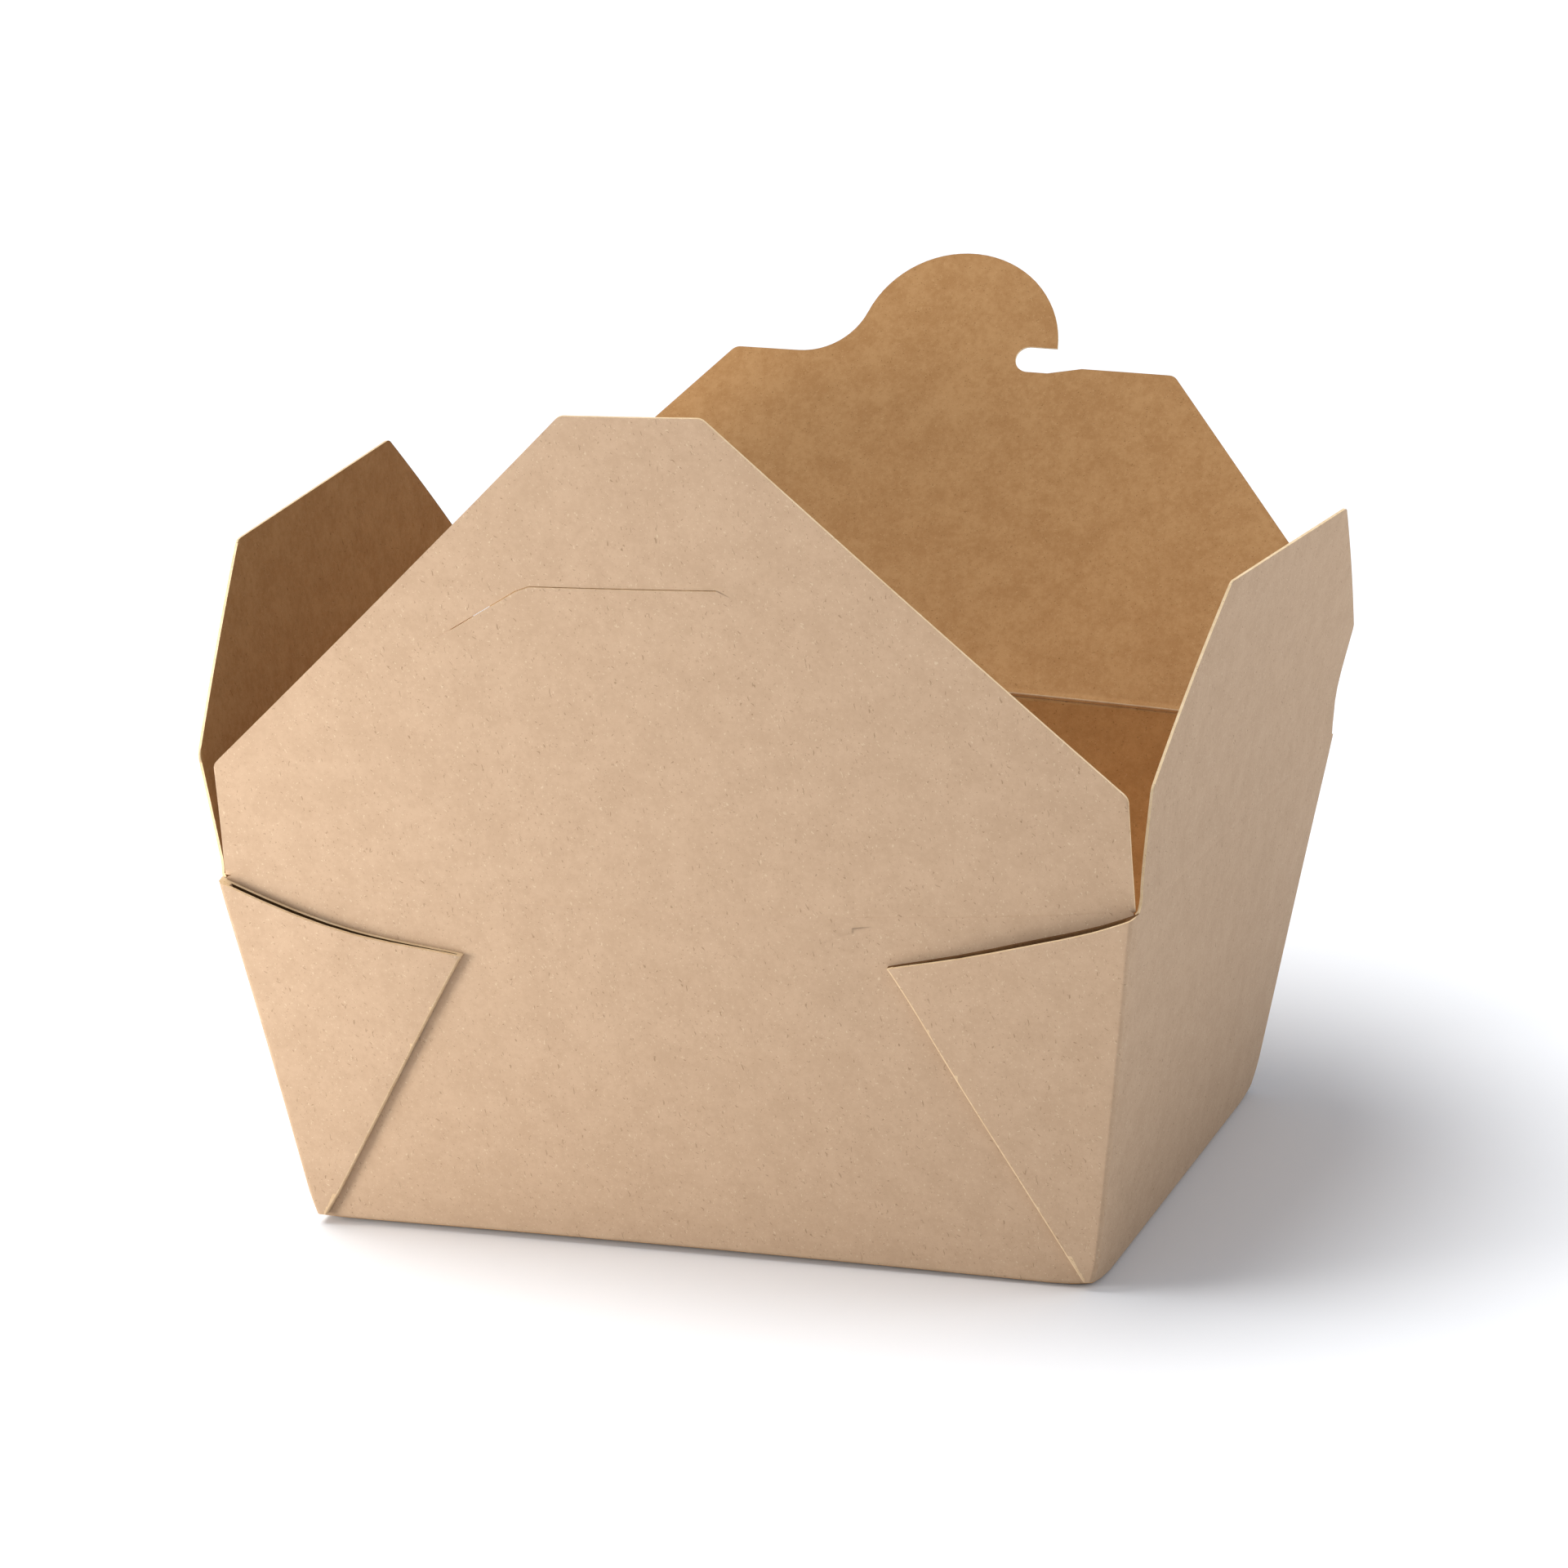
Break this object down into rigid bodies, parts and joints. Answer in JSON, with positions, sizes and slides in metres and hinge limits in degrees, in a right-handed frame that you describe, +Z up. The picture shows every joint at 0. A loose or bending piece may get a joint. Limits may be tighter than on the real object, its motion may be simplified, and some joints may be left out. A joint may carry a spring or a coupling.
{
  "type": "takeaway food box",
  "caption": "Folded kraft board takeaway box, open, with flared walls, doubled web corners and hinged flaps, one with a hook tab and one with a slit.",
  "frame": {"origin": "centre of the underside of the tray", "axes": "+Z up, X across the front with the slit flap at the front, Y toward the back"},
  "size_m": [0.1687, 0.1777, 0.1463],
  "materials": {
    "kraft_board": "matt unbleached kraft board"
  },
  "bodies": {
    "tray": {"tray": "kraft_board"},
    "front_flap": {"front_flap": "kraft_board"},
    "back_flap": {"back_flap": "kraft_board"},
    "left_flap": {"left_flap": "kraft_board"},
    "right_flap": {"right_flap": "kraft_board"}
  },
  "joints": [
    {"name": "front_crease", "type": "hinge", "parent": "tray", "child": "front_flap", "pos_m": [0, -0.05777, 0.065], "axis": [-1, 0, 0], "range_deg": [-57, 97.5]},
    {"name": "back_crease", "type": "hinge", "parent": "tray", "child": "back_flap", "pos_m": [0, 0.05788, 0.0657], "axis": [1, 0, 0], "range_deg": [-35, 127.7]},
    {"name": "left_crease", "type": "hinge", "parent": "tray", "child": "left_flap", "pos_m": [-0.07642, 0, 0.0643], "axis": [0, 1, 0], "range_deg": [-60, 99]},
    {"name": "right_crease", "type": "hinge", "parent": "tray", "child": "right_flap", "pos_m": [0.07642, 0, 0.0643], "axis": [0, -1, 0], "range_deg": [-57, 105.4]}
  ]
}
